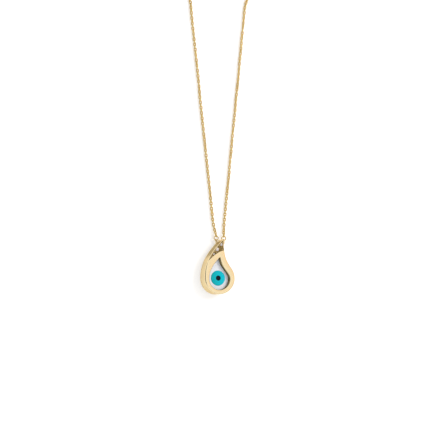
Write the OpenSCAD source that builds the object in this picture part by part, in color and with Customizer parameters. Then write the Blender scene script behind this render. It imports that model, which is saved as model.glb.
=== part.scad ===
// Evil eye ornament: a gold drop with a set eye, swinging on a fine cable chain.
// It lies face up. +Y points from the drop to the chain, +Z is the face's normal,
// and the origin is at the middle of the drop's footprint, on the surface it rests on.

/* [Drop] */
// Width of the drop
drop_w = 8.8; // [7:0.1:11]
// Height of the drop from its round end to its tip
drop_h = 15.1; // [12.4:0.1:19]
// Thickness of the drop from its back to its face
drop_t = 3.7; // [3:0.1:4.6]
// Thickness of the sheet that closes the back
back_t = 0.5; // [0.3:0.05:0.6]
// How far the tip leans to the right of the drop's centre line
tip_lean = 1.05; // [0.4:0.05:1.4]

/* [Eye] */
// Width of the drop-shaped window
window_w = 6.05; // [5:0.05:6.4]
// Height of the window
window_h = 8.9; // [7.3:0.05:9.4]
// How far the window's centre lies to the left of the drop's
window_shift = 0.1; // [0:0.05:0.3]
// How far the window's centre lies below the drop's
window_sink = 0.25; // [0:0.05:0.4]
// Thickness of the cement bed under the inlay
bed_t = 1.1; // [0.3:0.05:1.2]
// Thickness of the mother-of-pearl inlay
pearl_t = 0.9; // [0.5:0.05:1]
// Diameter of the iris
iris_d = 4.1; // [3:0.1:4.6]
// Height of the iris's dome above the pearl
iris_dome = 0.3; // [0.1:0.05:0.45]
// Diameter of the pupil
pupil_d = 1.35; // [0.9:0.05:1.8]
// Depth of the hole that the pupil sits in, below the pearl's face
pupil_seat = 0.25; // [0.15:0.05:0.4]

/* [Pave] */
// Width of the rim between the stone field and the drop's edge
rim_w = 0.16; // [0.1:0.01:0.22]
// Width of the band between the stone field and the window's tip
band_w = 1.75; // [1.5:0.05:1.9]
// Depth of the sunk stone field
field_depth = 0.35; // [0.25:0.05:0.5]
// Thickness of the pierced plate in the field
plate_t = 0.14; // [0.1:0.02:0.2]
// Diameter of the top stone
stone_top_d = 0.8; // [0.6:0.05:0.85]
// Diameter of the middle stone
stone_mid_d = 1; // [0.7:0.05:1.1]
// Diameter of the lowest stone
stone_low_d = 0.6; // [0.4:0.05:0.7]
// Diameter of the grains that hold the stones
grain_d = 0.32; // [0.2:0.02:0.36]

/* [Hanging rings] */
// Distance between the two jump rings
ring_gap = 2.25; // [2.1:0.05:3]
// Inside radius of a jump ring
ring_r = 0.45; // [0.42:0.01:0.7]
// Wire diameter of every ring
wire_d = 0.3; // [0.24:0.02:0.34]
// Play of a ring's wire in its eye, measured on the radius
wire_play = 0.1; // [0.06:0.01:0.14]
// Width of the metal round a hanging eye
eye_wall = 0.17; // [0.12:0.01:0.2]
// Thickness of a hanging eye
eye_t = 0.4; // [0.3:0.05:0.5]
// Height of the hanging eyes above the back
eye_z = 0.9; // [0.75:0.05:1.2]

/* [Chain] */
// Width of the chain
chain_d = 0.95; // [0.8:0.05:1.1]
// Radius of a stored coil at the middle of its turns
coil_r = 5.4; // [5:0.1:5.6]
// Turns of chain beside each other in a coil, and also on top of each other
coil_rows = 2; // [2:1:3]
// Thickness of the thread that ties a coil
tie_t = 0.1; // [0.08:0.01:0.15]
// Width of the tie
tie_w = 0.8; // [0.5:0.1:1.2]

/* [Clasp] */
// Radius of the clasp at the middle of its tube
clasp_r = 2.2; // [2:0.1:2.6]
// Diameter of the clasp's tube
tube_d = 1.2; // [1.1:0.05:1.3]
// Wall of the tube
tube_wall = 0.18; // [0.14:0.01:0.22]
// Play between the trigger bar and the tube, measured on the radius
bar_play = 0.05; // [0.03:0.01:0.1]
// Angle of the clasp's mouth
mouth_a = 50; // [44:1:56]
// Angle that the trigger turns to open the mouth
trigger_a = 42; // [36:1:48]
// Diameter of the thumb pin
pin_d = 0.4; // [0.3:0.02:0.44]
// Length of the thumb pin outside the tube
pin_out = 0.5; // [0.3:0.05:0.7]
// Radius of the link ring at the middle of its wire
link_r = 0.75; // [0.7:0.01:0.9]
// Radius of the clasp's eye at the middle of its wire
loop_r = 0.55; // [0.52:0.01:0.65]
// Radius of the catch ring at the middle of its wire
catch_r = 1.45; // [1.2:0.05:1.8]

/* [Hidden] */
$fn = 64;

gold = "#e8c47a";
white_gold = "#f4efe4";
seam = 0.02;       // clearance of a piece that is set into another
curve_steps = 24;  // straight stretches along one side of an outline
cut = 0.1;         // how far a cutting shape runs past what it cuts
wire_r = wire_d / 2;

// Drop outline: a round end of radius drop_r, and two flanks that meet at the tip.
drop_r = drop_w / 2;
round_y = drop_r - drop_h / 2;
tip = [tip_lean, drop_h / 2];
flank_h = tip.y - round_y;
left_hip = [-drop_r, round_y + 0.41 * flank_h];
left_neck = [tip.x - 0.385 * drop_w, round_y + 0.665 * flank_h];
right_leave_a = 38;
right_start = [drop_r * cos(right_leave_a), round_y + drop_r * sin(right_leave_a)];
right_hip_reach = 0.31 * drop_w;
right_hip = right_start + right_hip_reach * [-sin(right_leave_a), cos(right_leave_a)];
right_neck = [tip.x + 0.05, round_y + 0.6 * flank_h];

// Window outline: the same kind of drop, with its own width and height.
window_r = window_w / 2;
window_x = -window_shift;
window_y = round_y - window_sink;
window_tip = [window_x + 0.1, window_y - window_r + window_h];
window_rise = window_tip.y - window_y;
window_left_hip = [window_x - window_r, window_y + 0.36 * window_rise];
window_left_neck = [window_tip.x - 0.3 * window_w, window_y + 0.69 * window_rise];
window_right_hip = [window_x + window_r, window_y + 0.33 * window_rise];
window_right_neck = [window_tip.x + 0.07 * window_w, window_y + 0.48 * window_rise];

// The eye sits in the round part of the window.
eye_x = window_x - 0.05;
eye_y = round_y;
bed_top = back_t + bed_t;
pearl_top = bed_top + pearl_t;
iris_rim = 0.08;   // height of the iris's edge above the pearl

// Field of stones: between the rims of both flanks, above a curve along the window's flank.
field_floor = drop_t - field_depth;
field_bend = window_tip + [-0.2, band_w];
field_neck = window_left_neck + [0, band_w + 0.55];
left_rim_steps = 14;   // steps of the left flank, from the tip down, that bound the field
right_rim_steps = 7;   // steps of the right flank that bound it
seat_share = 0.7;      // width of a stone's seat as a share of the stone

// Hanging eyes and jump rings. The drop swings about the line through both eyes.
eye_bore_r = wire_r + wire_play;
eye_r = eye_bore_r + eye_wall;
ring_mid_r = ring_r + wire_r;
swing_drop = 0.2;  // how far the swing axis lies below the tip
swing_y = tip.y - swing_drop;
flank_way = unit(tip - left_neck);
// The left ring stands clear of the left flank even when it is turned square to the drop.
ring_out = (wire_r + 0.05 + swing_drop * flank_way.x) / flank_way.y;
left_ring_x = tip.x - ring_mid_r - ring_out;
right_ring_x = left_ring_x + ring_gap;
ring_y = swing_y + ring_mid_r;
chain_start_y = ring_y + ring_mid_r;
arm_h = 0.6;       // height of the arm that joins an eye to the drop
arm_reach = 1.3;   // how far an arm runs back from its eye

// Coils of the stored chain, beyond the shown stretch.
chain_r = chain_d / 2;
coil_half = coil_rows * chain_r;
coil_low = tie_t;
coil_y = 82.5;
left_coil_x = -6;
right_coil_x = 6.95;
tie_turn = 45;     // how far round from the front of its coil a tie sits

// Route of each chain from its jump ring to its coil.
left_route = [
    [left_ring_x, chain_start_y, eye_z], [-0.2, 9.4, 0.8], [-0.4, 10.3, 0.63],
    [-0.6, 11.4, 0.52], [-0.85, 13, 0.48], [-1.2, 16, 0.48], [-1.5, 19, 0.48],
    [-1.9, 22.5, 0.48], [-2.3, 26, 0.48], [-2.7, 29.5, 0.48], [-3.1, 33, 0.48],
    [-3.5, 36.5, 0.48], [-3.9, 40, 0.48], [-4.3, 43.5, 0.48], [-4.7, 47, 0.48],
    [-5, 50.5, 0.48], [-5.4, 54, 0.48], [-5.8, 57.5, 0.48], [-6.2, 61, 0.48],
    [-6.6, 64.5, 0.48], [-7, 68, 0.48], [-7.3, 71, 0.48], [-7.6, 73.6, 0.49],
    [-8.4, 75.6, 0.51], [-9.6, 77.4, 0.54], [-10.9, 79.2, 0.57]
];
right_route = [
    [right_ring_x, chain_start_y, eye_z], [2.28, 9.4, 0.8], [2.35, 10.3, 0.63],
    [2.45, 11.4, 0.52], [2.6, 13, 0.48], [2.9, 16, 0.48], [3.2, 19, 0.48], [3.6, 22.5, 0.48],
    [4, 26, 0.48], [4.3, 29.5, 0.48], [4.7, 33, 0.48], [5, 36.5, 0.48], [5.4, 40, 0.48],
    [5.8, 43.5, 0.48], [6.1, 47, 0.48], [6.5, 50.5, 0.48], [6.9, 54, 0.48], [7.2, 57.5, 0.48],
    [7.6, 61, 0.48], [7.9, 64.5, 0.48], [8.3, 68, 0.48], [8.6, 71, 0.48], [8.9, 73.6, 0.49],
    [9.5, 75.6, 0.51], [10.6, 77.4, 0.54], [11.8, 79.2, 0.57]
];
// Route of each chain's tail from the top of its coil to its fitting.
left_tail = [
    [-8.9, 87.6, 1.52], [-7.9, 88.2, 1.5], [-6.8, 89, 1.36],
    [-5.7, 90, 1.12], [-4.6, 91, 0.98], [-3.1, 91.6, 0.91]
];
right_tail = [
    [9.9, 87.6, 1.52], [9.1, 88.1, 1.5], [8.45, 88.6, 1.36], [8.05, 89.3, 1.12], [8, 90, 0.91]
];

// Clasp and catch, at the end of the tails.
tube_r = tube_d / 2;
bore_r = tube_r - tube_wall;
bar_r = bore_r - bar_play;
link_z = link_r + wire_r + 0.01;
link_play = 0.05;  // clear space between two rings that hang in each other
clasp_link_at = left_tail[5] + [link_r, 0, 0];
clasp_z = tube_r;
clasp_eye_x = clasp_link_at.x + wire_reach(link_z - clasp_z) + loop_r;
clasp_x = clasp_eye_x + loop_r + tube_r + clasp_r;
clasp_y = clasp_link_at.y;
mouth_from = 20;
bar_entry = 7;     // angle that the closed bar reaches into the tube past the mouth
pin_at = 90;
bar_tail = pin_at + 12;
spring_end = 176;
plug_a = 8;
slot_half = pin_d / 2 + 0.06;
slot_play_a = 2.5;
pin_half_a = asin(pin_d / 2 / clasp_r);
catch_link_at = right_tail[4] + [0, link_r, 0];
catch_z = 0.55;
catch_y = catch_link_at.y + wire_reach(link_z - catch_z) + catch_r;

// ---- curves ----

// Point at t on the cubic curve from a to d that leaves towards b and arrives from c.
function curve_at(a, b, c, d, t) =
    pow(1 - t, 3) * a + 3 * pow(1 - t, 2) * t * b + 3 * (1 - t) * t * t * c + pow(t, 3) * d;

function curve(a, b, c, d, steps) = [for (i = [0 : steps]) curve_at(a, b, c, d, i / steps)];

function arc(centre, r, from, to, steps) =
    [for (i = [0 : steps]) centre + r * [cos(from + (to - from) * i / steps),
                                         sin(from + (to - from) * i / steps)]];

// All the points but the last one, so that two stretches join without a double point.
function open_end(points) = [for (i = [0 : len(points) - 2]) points[i]];

function unit(v) = v / norm(v);

// How far out from an upright link ring's middle a level wire may lie inside it, when that
// wire passes a height of drop below the middle.
function wire_reach(drop) = sqrt(pow(link_r - 2 * wire_r - link_play, 2) - drop * drop);

// Closed outline moved inwards by d, for an outline that runs anticlockwise.
function inset(points, d) =
    [for (i = [0 : len(points) - 1])
        let (
            before = points[(i + len(points) - 1) % len(points)],
            after = points[(i + 1) % len(points)],
            along = unit(after - before)
        )
        points[i] + d * [-along.y, along.x]];

right_flank = curve(right_start, right_hip, right_neck, tip, curve_steps);
left_flank = curve(tip, left_neck, left_hip, [-drop_r, round_y], curve_steps);
drop_outline = concat(
    open_end(arc([0, round_y], drop_r, 180, 360 + right_leave_a, 2 * curve_steps)),
    open_end(right_flank),
    open_end(left_flank)
);

window_outline = concat(
    open_end(arc([window_x, window_y], window_r, 180, 360, 2 * curve_steps)),
    open_end(curve([window_x + window_r, window_y], window_right_hip, window_right_neck,
                   window_tip, curve_steps)),
    open_end(curve(window_tip, window_left_neck, window_left_hip,
                   [window_x - window_r, window_y], curve_steps))
);

// The stone field keeps the rim inside both flanks, and its third side is the lower curve.
rim_outline = inset(drop_outline, rim_w);
flank_from = 2 * curve_steps;         // place of the right flank's start in the outline
tip_place = flank_from + curve_steps;
field_left_side = [for (i = [1 : left_rim_steps]) rim_outline[tip_place + i]];
field_right_side = [for (i = [curve_steps - right_rim_steps : curve_steps - 1]) rim_outline[flank_from + i]];
field_far_side = concat(
    open_end(curve(field_left_side[left_rim_steps - 1], field_neck, field_bend,
                   field_right_side[0], curve_steps)),
    field_right_side
);
field_outline = concat(field_far_side, open_end(field_left_side));

// Place in the field: a share of the way from step k of its left side, counted from the tip,
// to step j of the side across, which runs along the lower curve and up the right rim.
function in_field(k, j, share) =
    field_left_side[k - 1] * (1 - share) + field_far_side[j] * share;

// Middle of each stone and of each grain.
top_stone_at = in_field(1, 17, 0.32);
mid_stone_at = in_field(6, 18, 0.3);
low_stone_at = in_field(8, 8, 0.6);
stones = [[top_stone_at, stone_top_d], [mid_stone_at, stone_mid_d], [low_stone_at, stone_low_d]];
grain_spots = [for (p = [
    [1, 17, 0.12], [3, 18, 0.26], [4, 26, 0.68], [4, 23, 0.78],
    [6, 8, 0.44], [6, 12, 0.75], [12, 9, 0.45]]) in_field(p[0], p[1], p[2])];

// ---- shared shapes ----

module ring(mid_r, r) {
    rotate_extrude() translate([mid_r, 0]) circle(r, $fn = 24);
}

module bent_bar(mid_r, r, from, to) {
    rotate([0, 0, from]) rotate_extrude(angle = to - from) translate([mid_r, 0]) circle(r, $fn = 32);
}

// Window-shaped block from z = low, shrunk all round by the seam.
module window_block(low, height) {
    translate([0, 0, low]) linear_extrude(height) polygon(inset(window_outline, seam));
}

// Stone field from z = low, shrunk all round by gap.
module field_block(low, height, gap) {
    translate([0, 0, low]) linear_extrude(height) polygon(inset(field_outline, gap));
}

// Brilliant-cut stone: a pointed underside, a girdle, a sloped crown and a flat table.
module brilliant(at, d) {
    girdle_z = field_floor + 0.43 * d * (1 - seat_share);
    translate([at.x, at.y, girdle_z]) rotate_extrude()
        polygon([[0, -0.43 * d], [0.5 * d, 0], [0.5 * d, 0.02 * d], [0.29 * d, 0.16 * d], [0, 0.16 * d]]);
}

// Swept tube of eight sides along a route.
module chain_tube(route) {
    sides = 8;
    last = len(route) - 1;
    rings = [for (i = [0 : last])
        let (
            along = unit(route[min(i + 1, last)] - route[max(i - 1, 0)]),
            across = unit(cross(along, [0, 0, 1])),
            up = cross(across, along)
        )
        [for (k = [0 : sides - 1])
            route[i] + chain_r * (cos(360 * k / sides) * across + sin(360 * k / sides) * up)]];
    points = [for (one = rings) for (p = one) p];
    walls = [for (i = [0 : last - 1]) for (k = [0 : sides - 1]) let (n = (k + 1) % sides)
        [i * sides + k, i * sides + n, (i + 1) * sides + n, (i + 1) * sides + k]];
    start_cap = [for (k = [0 : sides - 1]) sides - 1 - k];
    end_cap = [for (k = [0 : sides - 1]) last * sides + k];
    polyhedron(points, concat(walls, [start_cap, end_cap]));
}

module coil(x) {
    translate([x, coil_y, coil_low]) rotate_extrude()
        translate([coil_r - coil_half, 0]) square([2 * coil_half, 2 * coil_half]);
}

// Flat band round the section of a coil, at an angle round the coil.
module coil_tie(x, turn) {
    outer = 2 * coil_half + 2 * tie_t;
    inner = 2 * coil_half + 2 * seam;
    translate([x, coil_y, coil_low + coil_half]) rotate([0, 0, turn]) translate([coil_r, 0, 0])
        rotate([90, 0, 0]) linear_extrude(tie_w, center = true) difference() {
            square([outer + 2 * seam, outer], center = true);
            square([inner, inner - 2 * seam], center = true);
        }
}

// Hanging eye: a pierced round end with an arm that runs back to the drop.
module hanging_eye(x, side_bar) {
    difference() {
        union() {
            translate([x, swing_y, eye_z]) rotate([0, 90, 0]) cylinder(h = eye_t, r = eye_r, center = true);
            translate([x - eye_t / 2, swing_y - arm_reach, eye_z - arm_h / 2])
                cube([eye_t, arm_reach - eye_bore_r, arm_h]);
            if (side_bar) translate([tip.x, swing_y - arm_reach, eye_z - arm_h / 2])
                cube([x - tip.x, eye_t, arm_h]);
        }
        translate([x, swing_y, eye_z]) rotate([0, 90, 0])
            cylinder(h = eye_t + 2 * cut, r = eye_bore_r, center = true);
        linear_extrude(drop_t) polygon(drop_outline);
    }
}

// ---- drop ----

module drop_frame() {
    color(gold) difference() {
        translate([0, 0, back_t]) linear_extrude(drop_t - back_t) difference() {
            polygon(drop_outline);
            polygon(window_outline);
        }
        field_block(field_floor, field_depth + cut, 0);
        for (s = stones)
            translate([s[0].x, s[0].y, field_floor - 0.35 * s[1]])
                cylinder(h = 0.35 * s[1] + cut, d = seat_share * s[1]);
    }
}

module back_plate() {
    color(gold) linear_extrude(back_t) polygon(drop_outline);
}

module cement_bed() {
    color("#d9d4c8") window_block(back_t, bed_t);
}

module pearl_inlay() {
    color("#eef2f7") difference() {
        window_block(bed_top, pearl_t);
        translate([eye_x, eye_y, bed_top - cut]) cylinder(h = pearl_t + 2 * cut, d = iris_d + 2 * seam);
    }
}

module iris_disc() {
    dome_rise = iris_dome - iris_rim;
    dome_r = (iris_d * iris_d / 4 + dome_rise * dome_rise) / (2 * dome_rise);
    color("#12b8c8") translate([eye_x, eye_y, 0]) difference() {
        intersection() {
            translate([0, 0, bed_top]) cylinder(h = pearl_t + iris_dome + cut, d = iris_d);
            translate([0, 0, pearl_top + iris_dome - dome_r]) sphere(dome_r, $fn = 128);
        }
        translate([0, 0, pearl_top - pupil_seat])
            cylinder(h = pupil_seat + iris_dome + cut, d = pupil_d + 2 * seam);
    }
}

module pupil_stone() {
    rise = 0.12;
    cap_r = (pupil_d * pupil_d / 4 + rise * rise) / (2 * rise);
    top = pearl_top + iris_dome + 0.08;
    color("#10121c") translate([eye_x, eye_y, 0]) intersection() {
        translate([0, 0, pearl_top - pupil_seat]) cylinder(h = top, d = pupil_d);
        translate([0, 0, top - cap_r]) sphere(cap_r, $fn = 96);
    }
}

module stone_plate() {
    color(gold) difference() {
        field_block(field_floor, plate_t, seam);
        for (s = stones)
            translate([s[0].x, s[0].y, field_floor - cut])
                cylinder(h = plate_t + 2 * cut, d = s[1] + 2 * seam);
    }
}

module top_stone() {
    color(white_gold) brilliant(top_stone_at, stone_top_d);
}

module middle_stone() {
    color(white_gold) brilliant(mid_stone_at, stone_mid_d);
}

module lowest_stone() {
    color(white_gold) brilliant(low_stone_at, stone_low_d);
}

module setting_grains() {
    color(gold) for (p = grain_spots)
        translate([p.x, p.y, field_floor + plate_t]) intersection() {
            sphere(d = grain_d);
            cylinder(h = grain_d, d = grain_d + cut);
        }
}

module left_eye() {
    color(gold) hanging_eye(left_ring_x, false);
}

module right_eye() {
    color(gold) hanging_eye(right_ring_x, true);
}

// ---- chain ----

module left_jump_ring() {
    color(gold) translate([left_ring_x, ring_y, eye_z]) ring(ring_mid_r, wire_r);
}

module right_jump_ring() {
    color(gold) translate([right_ring_x, ring_y, eye_z]) ring(ring_mid_r, wire_r);
}

module left_chain() {
    color(gold) {
        chain_tube(left_route);
        chain_tube(left_tail);
    }
}

module right_chain() {
    color(gold) {
        chain_tube(right_route);
        chain_tube(right_tail);
    }
}

module left_chain_coil() {
    color(gold) coil(left_coil_x);
}

module right_chain_coil() {
    color(gold) coil(right_coil_x);
}

module left_coil_tie() {
    color("white") coil_tie(left_coil_x, -tie_turn);
}

module right_coil_tie() {
    color("white") coil_tie(right_coil_x, 180 + tie_turn);
}

// ---- clasp ----

module clasp_link_ring() {
    color(gold) translate([clasp_link_at.x, clasp_link_at.y, link_z]) rotate([90, 0, 0]) ring(link_r, wire_r);
}

module clasp_eye() {
    color(gold) difference() {
        translate([clasp_eye_x, clasp_y, clasp_z]) ring(loop_r, wire_r);
        translate([clasp_x, clasp_y, clasp_z]) ring(clasp_r, tube_r);
    }
}

module clasp_tube() {
    slot_from = pin_at - pin_half_a - slot_play_a;
    slot_to = pin_at + trigger_a + pin_half_a + slot_play_a;
    color(gold) translate([clasp_x, clasp_y, clasp_z]) {
        difference() {
            bent_bar(clasp_r, tube_r, mouth_from + mouth_a, 360 + mouth_from);
            bent_bar(clasp_r, bore_r, mouth_from + mouth_a - 1, 361 + mouth_from);
            rotate([0, 0, slot_from]) rotate_extrude(angle = slot_to - slot_from)
                translate([clasp_r + bore_r / 2, -slot_half]) square([tube_r, 2 * slot_half]);
        }
        bent_bar(clasp_r, bore_r, spring_end, spring_end + plug_a);
    }
}

module clasp_trigger() {
    color(gold) translate([clasp_x, clasp_y, clasp_z]) {
        bent_bar(clasp_r, bar_r, mouth_from - bar_entry, bar_tail);
        rotate([0, 0, pin_at]) translate([clasp_r, 0, 0]) rotate([0, 90, 0])
            cylinder(h = tube_r + pin_out, d = pin_d);
    }
}

module clasp_spring() {
    color("silver") translate([clasp_x, clasp_y, clasp_z]) bent_bar(clasp_r, bar_r, bar_tail, spring_end);
}

module catch_link_ring() {
    color(gold) translate([catch_link_at.x, catch_link_at.y, link_z]) rotate([0, 90, 0]) ring(link_r, wire_r);
}

module catch_ring() {
    color(gold) translate([catch_link_at.x, catch_y, catch_z]) ring(catch_r, wire_r);
}

drop_frame();
back_plate();
cement_bed();
pearl_inlay();
iris_disc();
pupil_stone();
stone_plate();
top_stone();
middle_stone();
lowest_stone();
setting_grains();
left_eye();
right_eye();
left_jump_ring();
right_jump_ring();
left_chain();
right_chain();
left_chain_coil();
right_chain_coil();
left_coil_tie();
right_coil_tie();
clasp_link_ring();
clasp_eye();
clasp_tube();
clasp_trigger();
clasp_spring();
catch_link_ring();
catch_ring();
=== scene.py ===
# %% [markdown]
# # A gold drop with an evil eye, on a fine cable chain
#
# The measured model already holds every part in its true place and size. This lesson
# gives those parts their real surfaces: rounded gold edges, a set eye, cut stones and a
# chain of linked loops. Nothing is moved, because every new piece is worked out in the
# model's own frame.

# %% Load the measured model
import math
import bmesh
import bpy
import numpy as np
from mathutils import Matrix, Vector


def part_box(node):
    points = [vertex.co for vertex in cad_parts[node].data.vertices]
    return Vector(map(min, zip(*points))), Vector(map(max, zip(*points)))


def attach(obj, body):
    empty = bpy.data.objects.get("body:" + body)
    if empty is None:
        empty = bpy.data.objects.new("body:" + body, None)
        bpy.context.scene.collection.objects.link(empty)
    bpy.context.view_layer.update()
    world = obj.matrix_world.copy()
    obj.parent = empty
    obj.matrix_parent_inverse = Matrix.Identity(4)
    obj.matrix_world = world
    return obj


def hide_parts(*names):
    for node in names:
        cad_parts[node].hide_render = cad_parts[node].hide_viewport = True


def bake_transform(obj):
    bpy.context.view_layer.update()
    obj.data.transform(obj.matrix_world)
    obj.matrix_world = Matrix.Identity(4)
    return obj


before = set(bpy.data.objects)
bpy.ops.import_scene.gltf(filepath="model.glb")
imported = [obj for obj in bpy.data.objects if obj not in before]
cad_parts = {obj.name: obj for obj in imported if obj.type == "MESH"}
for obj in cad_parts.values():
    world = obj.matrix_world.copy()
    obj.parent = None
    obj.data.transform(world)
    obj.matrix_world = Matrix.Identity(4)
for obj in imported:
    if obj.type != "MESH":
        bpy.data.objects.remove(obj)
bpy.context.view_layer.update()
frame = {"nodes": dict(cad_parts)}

MM = 0.001
nodes = frame["nodes"]

# %% [markdown]
# ## Camera
#
# The pendant lies on a white table and is seen from above, a little from the left and
# from below its round end. A long lens keeps the thin chain straight. The camera is made
# first, because the stored part of the chain has to lie outside what it sees.

# %% Camera over the pendant
def corners(node):
    """Lowest and highest corner of a measured part, in millimetres."""
    low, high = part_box(node)
    return np.array(low) / MM, np.array(high) / MM


def place_object(name, data):
    """Scene object that holds the data."""
    made = bpy.data.objects.new(name, data)
    bpy.context.scene.collection.objects.link(made)
    return made


pupil_low, pupil_high = corners("pupil_stone")
pupil_top = np.array([*((pupil_low + pupil_high) / 2)[:2], pupil_high[2]])

lean_left, lean_down = math.radians(22), math.radians(6)
to_camera = np.array([-math.sin(lean_left) * math.cos(lean_down), -math.sin(lean_down),
                      math.cos(lean_left) * math.cos(lean_down)])
screen_right = np.cross([0, 1, 0], to_camera)
screen_right /= np.linalg.norm(screen_right)
screen_up = np.cross(to_camera, screen_right)

lens, sensor, seen_width = 120.0, 36.0, 117.17
distance = seen_width / sensor * lens
aim_right, aim_up = -0.943, 17.18          # from the pupil to the middle of the view
target = pupil_top + aim_right * screen_right + aim_up * screen_up

camera_data = bpy.data.cameras.new("table_camera")
camera_data.lens, camera_data.sensor_width = lens, sensor
camera_data.clip_start, camera_data.clip_end = 0.01, 20
camera = place_object("table_camera", camera_data)
turn = np.eye(4)
turn[:3, 0], turn[:3, 1], turn[:3, 2] = screen_right, screen_up, to_camera
turn[:3, 3] = (target + to_camera * distance) * MM
camera.matrix_world = Matrix(turn.tolist())
bpy.context.scene.camera = camera
print("camera stands", round(distance), "mm away")

# %% [markdown]
# ## Surfaces from arrays
#
# Every piece is a grid of points: rows along one direction, columns along the other. One
# helper makes the four-sided faces between them, and one puts points and faces in a mesh.

# %% Mesh helpers
def unit(vectors):
    """Rows of an array at length one."""
    return vectors / np.linalg.norm(vectors, axis=1)[:, None]


def full_turn(count):
    """Angles in radians at an even spacing round a full turn."""
    return np.linspace(0, 2 * np.pi, count, endpoint=False)


def squarer(wave, power):
    """A sine or cosine raised to a power below one with its sign kept, which squares a circle."""
    return np.sign(wave) * np.abs(wave) ** power


def at_height(points, z):
    """Flat points with one height, or each with its own, as their third coordinate."""
    return np.column_stack([points, np.broadcast_to(z, len(points))])


def grid_faces(rows, cols, wrap_rows=False, wrap_cols=True):
    """Face between row i, i+1 and column j, j+1 of a grid whose points are numbered row by row."""
    i = np.arange(rows if wrap_rows else rows - 1)[:, None]
    j = np.arange(cols if wrap_cols else cols - 1)[None, :]
    i2, j2 = (i + 1) % rows, (j + 1) % cols
    quads = np.stack([i * cols + j, i * cols + j2, i2 * cols + j2, i2 * cols + j], axis=-1)
    return quads.reshape(-1, 4)


def joined(parts):
    """One list of points and faces from several, each part's numbers moved past the last."""
    points, faces, at = [], [], 0
    for some_points, some_faces in parts:
        points.append(np.asarray(some_points, float))
        faces += [[int(n) + at for n in face] for face in some_faces]
        at += len(some_points)
    return np.concatenate(points), faces


def mount(name, mesh, body, material, replaced):
    """Object that holds a mesh of one material and stands for measured parts. It rides on a body,
    if one is given."""
    mesh.materials.append(material)
    piece = place_object(name, mesh)
    if body:
        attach(piece, body)
    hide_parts(*replaced)
    return piece


def make_piece(name, points, faces, body, material, replaced, slot, sharp=35, weld=True, painted_shade=None):
    """Puts points in millimetres and faces in a mesh that rides on a body, shaded smooth except
    where two faces meet at more than the sharp angle. The painted shade, from 0 to 1 a point, says how
    far the colour there is darkened to olive where walls and hollows lie in shade."""
    mesh = bpy.data.meshes.new(name)
    mesh.from_pydata((np.asarray(points, float) * MM).tolist(), [], [list(map(int, f)) for f in faces])
    if painted_shade is not None:
        layer = mesh.attributes.new("painted_shade", "FLOAT", "POINT")
        layer.data.foreach_set("value", np.asarray(painted_shade, np.float32))
    if weld:
        tidy_mesh(mesh)
    mesh.polygons.foreach_set("use_smooth", np.ones(len(mesh.polygons), bool))
    mesh.set_sharp_from_angle(angle=math.radians(sharp))
    mesh.update()
    return mount(name, mesh, body, material, replaced)


def tidy_mesh(mesh):
    """Merges points that lie on each other and turns all faces outwards."""
    work = bmesh.new()
    work.from_mesh(mesh)
    bmesh.ops.remove_doubles(work, verts=work.verts, dist=2e-7)
    bmesh.ops.recalc_face_normals(work, faces=work.faces)
    work.to_mesh(mesh)
    work.free()


# %% Curves
def cubic(a, b, c, d, steps):
    """Points of the cubic curve from a to d that leaves towards b and arrives from c."""
    t = np.linspace(0, 1, steps + 1)[:, None]
    a, b, c, d = (np.asarray(p, float) for p in (a, b, c, d))
    return (1 - t) ** 3 * a + 3 * (1 - t) ** 2 * t * b + 3 * (1 - t) * t ** 2 * c + t ** 3 * d


def arc(centre, radius, from_angle, to_angle, steps):
    """Points on a circle between two angles in degrees."""
    a = np.radians(np.linspace(from_angle, to_angle, steps + 1))
    return np.asarray(centre, float) + radius * np.stack([np.cos(a), np.sin(a)], axis=1)


def smooth_path(points, step):
    """Points at an even step along a curve through the given ones. Between two of them it is the
    cubic that leaves and arrives with the slope of its neighbours, weighted by their distance."""
    p = np.asarray(points, float)
    h = np.linalg.norm(np.diff(p, axis=0), axis=1)
    slope = np.diff(p, axis=0) / h[:, None]
    m = np.empty_like(p)
    m[1:-1] = (h[:-1, None] * slope[1:] + h[1:, None] * slope[:-1]) / (h[:-1] + h[1:])[:, None]
    m[0], m[-1] = slope[0], slope[-1]
    t = np.linspace(0, 1, 25)[:-1][None, :, None]
    a, b, hh = p[:-1, None], p[1:, None], h[:, None, None]
    fine = ((2 * t ** 3 - 3 * t ** 2 + 1) * a + (t ** 3 - 2 * t ** 2 + t) * hh * m[:-1, None]
            + (3 * t ** 2 - 2 * t ** 3) * b + (t ** 3 - t ** 2) * hh * m[1:, None])
    fine = np.concatenate([fine.reshape(-1, 3), p[-1:]])
    along = np.concatenate([[0], np.cumsum(np.linalg.norm(np.diff(fine, axis=0), axis=1))])
    even = np.linspace(0, along[-1], max(2, round(along[-1] / step) + 1))
    return np.stack([np.interp(even, along, fine[:, k]) for k in range(3)], axis=1), along[-1]


# %% [markdown]
# ## Gold
#
# The polished gold of the drop, the wire rings and the fine chain are one alloy. The effect
# they share is a node group: faint cloudiness of the polish, hair-fine scratches, and a painted
# olive shade laid into the colour where walls and hollows lie in shade. Metal has no colour of
# its own besides its reflection, so the group tints, roughens and tilts that reflection, and
# darkens it where the shade is painted. The chain's copy is tinted deeper, painted shade for
# the light its links reflect onto one another.

# %% Node helpers
def feed(node, **values):
    """Constants and links into a node's own sockets. An underscore stands for a space in a
    socket's name, and a colour is given without its alpha."""
    for name, value in values.items():
        socket = node.inputs[name.replace("_", " ")]
        if isinstance(value, bpy.types.NodeSocket):
            node.id_data.links.new(value, socket)
        elif socket.type == "RGBA":
            socket.default_value = (*value, 1)
        else:
            socket.default_value = value


def new_group(name, inputs, outputs):
    """Empty node group with named sockets: the group, what it is given, and its output node."""
    group = bpy.data.node_groups.new(name, "ShaderNodeTree")
    for socket, kind, value in inputs:
        made = group.interface.new_socket(socket, in_out="INPUT", socket_type=kind)
        made.default_value = value
    for socket, kind in outputs:
        group.interface.new_socket(socket, in_out="OUTPUT", socket_type=kind)
    return group, group.nodes.new("NodeGroupInput").outputs, group.nodes.new("NodeGroupOutput")


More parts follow.
